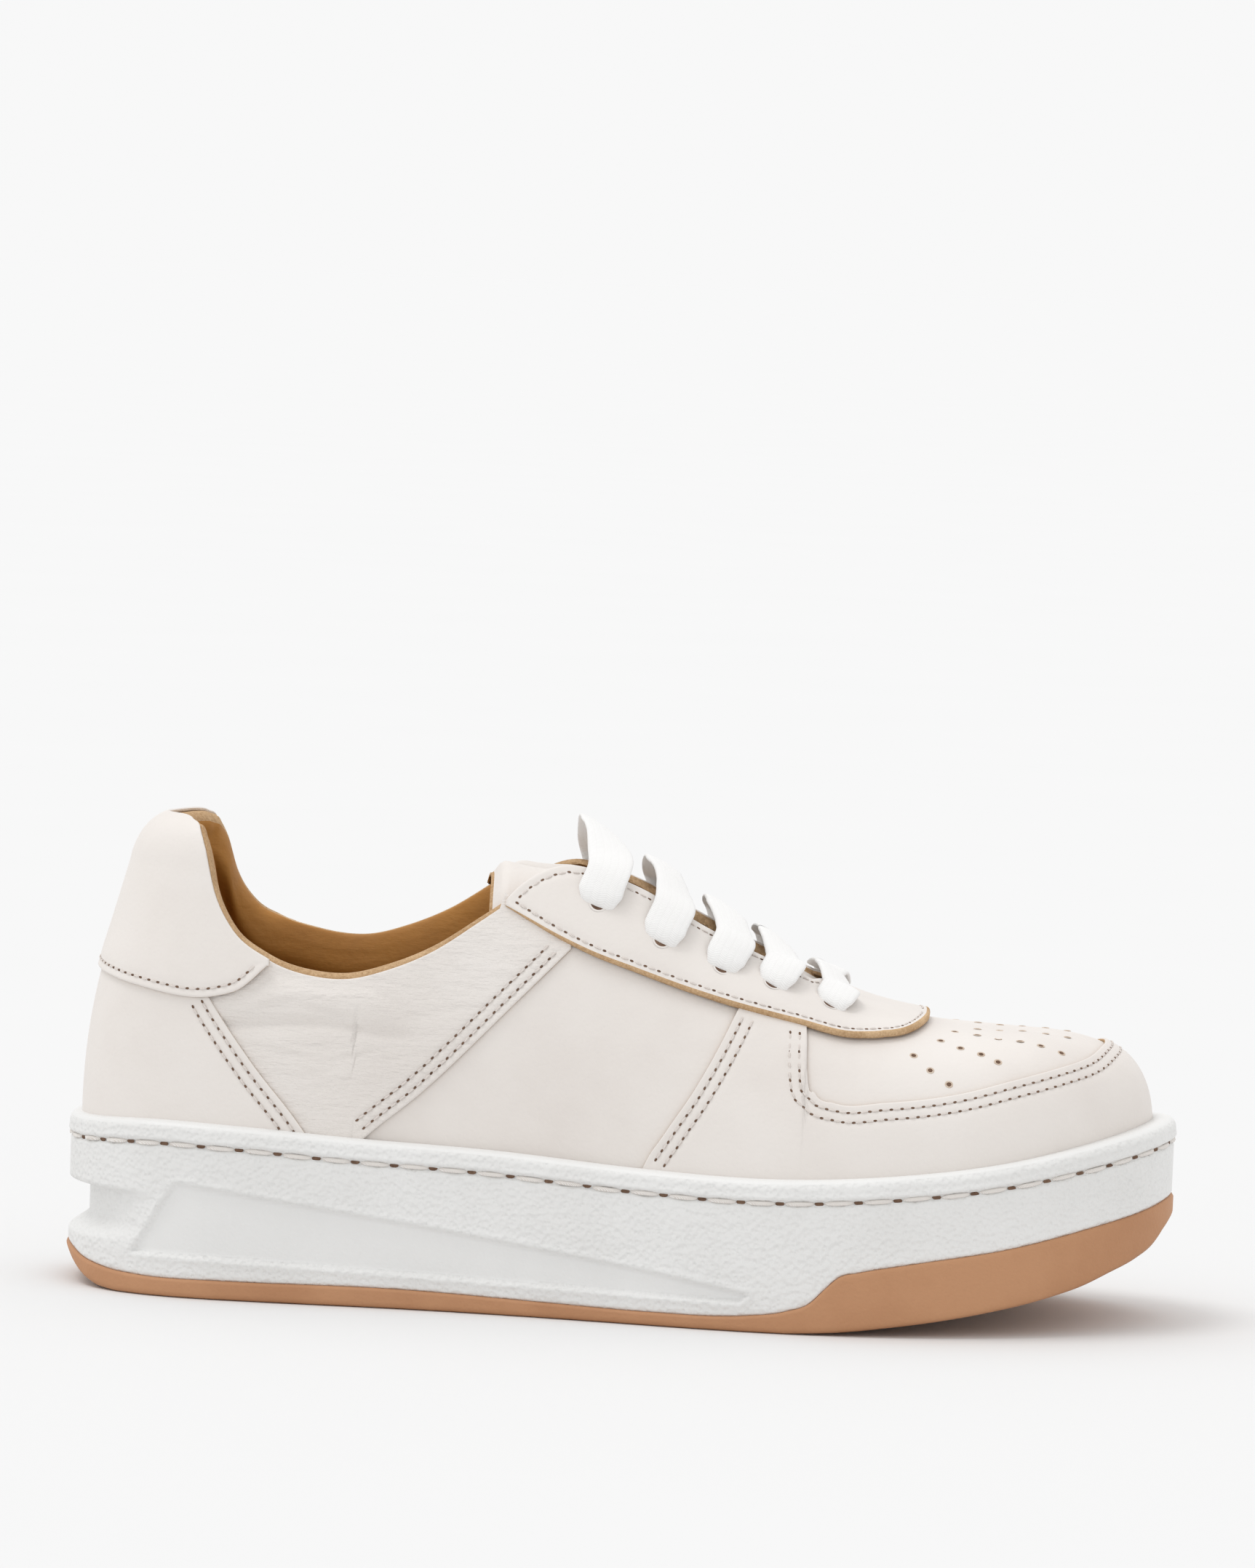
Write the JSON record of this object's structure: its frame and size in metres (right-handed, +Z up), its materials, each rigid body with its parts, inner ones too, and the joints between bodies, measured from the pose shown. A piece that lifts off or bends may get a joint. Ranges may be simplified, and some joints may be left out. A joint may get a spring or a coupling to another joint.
{
  "type": "court shoe",
  "caption": "Low-top leather court shoe for the right foot with a stitched rubber cupsole, a contrast outsole, flat laces and a padded collar and tongue.",
  "frame": {"origin": "on the ground, at the centre of the shoe's length and width", "axes": "+X to the toe, +Y to the inner (medial) side of the foot, +Z up from the ground"},
  "size_m": [0.2813, 0.1056, 0.1182],
  "materials": {
    "cup_rubber": "satin white moulded rubber, fine grain",
    "gum_rubber": "matt gum rubber",
    "sole_thread": "thick waxed thread",
    "filler_foam": "open-cell foam, hidden",
    "board": "pressed fibre board, hidden",
    "liner_cloth": "worn tan covering",
    "leather_upper": "warm ivory grained leather, raw tan edges",
    "tan_leather": "soft mustard tan lining leather",
    "upper_thread": "fine cream thread",
    "lace_cotton": "flat white woven cotton"
  },
  "bodies": {
    "shoe": {"cupsole": "cup_rubber", "gum_outsole": "gum_rubber", "sole_stitching": "sole_thread", "midsole_filler": "filler_foam", "insole_board": "board", "sock_liner": "liner_cloth", "side_panel_lateral": "leather_upper", "side_panel_medial": "leather_upper", "collar_panel_lateral": "leather_upper", "collar_panel_medial": "leather_upper", "collar_panel_stitching_lateral": "upper_thread", "collar_panel_stitching_medial": "upper_thread", "heel_counter_stitching_lateral": "upper_thread", "heel_counter_stitching_medial": "upper_thread", "eyestay_backer_lateral": "tan_leather", "eyestay_backer_medial": "tan_leather", "vamp": "leather_upper", "toe_overlay": "leather_upper", "toe_overlay_stitching": "upper_thread", "heel_counter_panel": "leather_upper", "heel_tab": "leather_upper", "heel_tab_stitching": "upper_thread", "heel_stiffener": "board", "toe_puff": "board", "collar_foam": "filler_foam", "quarter_lining": "tan_leather", "vamp_lining": "tan_leather", "eyestay": "leather_upper", "eyestay_stitching_lateral": "upper_thread", "eyestay_stitching_medial": "upper_thread", "shoelace": "lace_cotton"},
    "tongue": {"tongue_face": "leather_upper", "tongue_foam": "filler_foam", "tongue_lining": "tan_leather"}
  },
  "joints": [
    {"name": "tongue_hinge", "type": "hinge", "parent": "shoe", "child": "tongue", "pos_m": [0.05, 0, 0.076], "axis": [0, -1, 0], "range_deg": [0, 8]}
  ]
}
